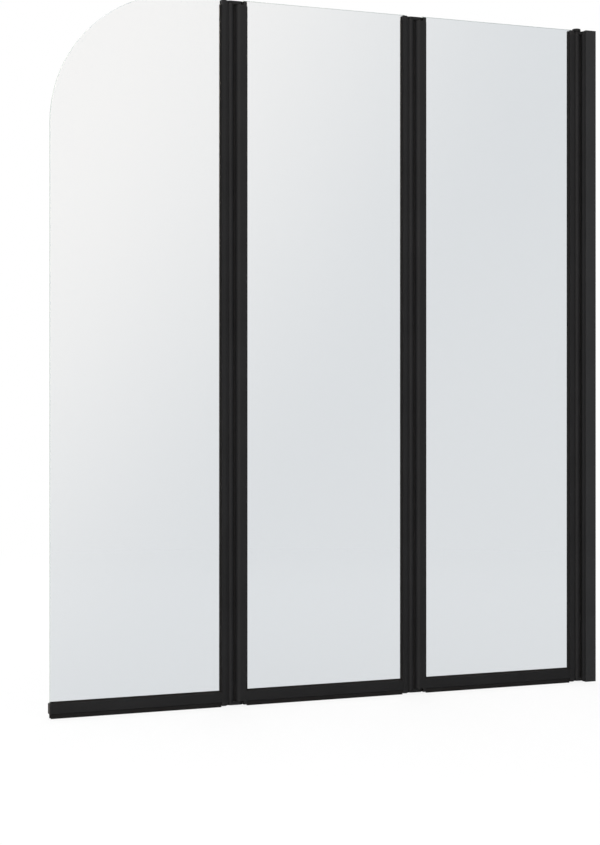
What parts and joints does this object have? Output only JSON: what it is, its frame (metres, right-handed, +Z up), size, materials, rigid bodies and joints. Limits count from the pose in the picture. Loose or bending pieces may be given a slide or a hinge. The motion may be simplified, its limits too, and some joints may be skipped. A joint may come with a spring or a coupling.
{
  "type": "bath screen",
  "caption": "Folding bath screen: framed clear glass leaves on pivot hinges, with an adjustable wall profile, bottom rails with drip seals and a rounded outer corner.",
  "frame": {"origin": "foot of the wall profile, in the middle of its back face, level with the bath's rim", "axes": "+Z up; +X into the wall, so the screen runs towards -X; -Y faces the room and +Y the bath"},
  "size_m": [1.2, 0.024, 1.403],
  "materials": {
    "black_profile": "matt",
    "glass": "gloss",
    "seal_rubber": "matt",
    "black_plastic": "matt",
    "bush_plastic": "satin",
    "steel": "satin"
  },
  "bodies": {
    "wall_profile": {"wall_channel": "black_profile", "channel_plugs": "black_plastic", "clamp_screws": "steel", "clamp_nuts": "steel"},
    "post": {"hinge_post": "black_profile", "upper_pivot": "black_profile", "lower_pivot": "black_profile", "wall_pins": "steel", "pivot_cover": "black_profile", "post_seal": "seal_rubber", "pivot_screws": "steel"},
    "inner_leaf": {"inner_glass": "glass", "inner_barrel_stile": "black_profile", "inner_nose_stile": "black_profile", "inner_rail": "black_profile", "inner_rail_seal": "seal_rubber", "inner_gaskets": "seal_rubber", "inner_corner_keys": "black_plastic", "inner_key_screws": "steel", "inner_bushes": "bush_plastic", "inner_barrel_caps": "black_plastic", "inner_nose_caps": "black_plastic", "inner_hinge_seal": "seal_rubber"},
    "inner_link": {"inner_link_upper": "black_profile", "inner_link_lower": "black_profile", "inner_link_pins": "steel"},
    "middle_leaf": {"middle_glass": "glass", "middle_barrel_stile": "black_profile", "middle_nose_stile": "black_profile", "middle_rail": "black_profile", "middle_rail_seal": "seal_rubber", "middle_gaskets": "seal_rubber", "middle_corner_keys": "black_plastic", "middle_key_screws": "steel", "middle_bushes": "bush_plastic", "middle_barrel_caps": "black_plastic", "middle_nose_caps": "black_plastic", "middle_hinge_seal": "seal_rubber"},
    "outer_link": {"outer_link_upper": "black_profile", "outer_link_lower": "black_profile", "outer_link_pins": "steel"},
    "outer_leaf": {"outer_glass": "glass", "outer_barrel_stile": "black_profile", "outer_rail": "black_profile", "outer_rail_seal": "seal_rubber", "outer_gaskets": "seal_rubber", "outer_corner_key": "black_plastic", "outer_key_screws": "steel", "outer_bushes": "bush_plastic", "outer_barrel_caps": "black_plastic", "outer_rail_plug": "black_plastic"}
  },
  "joints": [
    {"name": "width_adjust", "type": "slide", "parent": "wall_profile", "child": "post", "axis": [-1, 0, 0], "range_m": [-0.006, 0.006]},
    {"name": "inner_leaf_swing", "type": "hinge", "parent": "post", "child": "inner_leaf", "pos_m": [-0.042, 0, 0.7], "axis": [0, 0, -1], "range_deg": [-90, 90]},
    {"name": "inner_link_swing", "type": "hinge", "parent": "inner_leaf", "child": "inner_link", "pos_m": [-0.4185, 0, 0.7], "axis": [0, 0, 1], "range_deg": [-90, 90]},
    {"name": "middle_leaf_swing", "type": "hinge", "parent": "inner_link", "child": "middle_leaf", "pos_m": [-0.4375, 0, 0.7], "axis": [0, 0, 1], "range_deg": [-90, 90]},
    {"name": "outer_link_swing", "type": "hinge", "parent": "middle_leaf", "child": "outer_link", "pos_m": [-0.814, 0, 0.7], "axis": [0, 0, -1], "range_deg": [-90, 90]},
    {"name": "outer_leaf_swing", "type": "hinge", "parent": "outer_link", "child": "outer_leaf", "pos_m": [-0.833, 0, 0.7], "axis": [0, 0, -1], "range_deg": [-90, 90]}
  ]
}
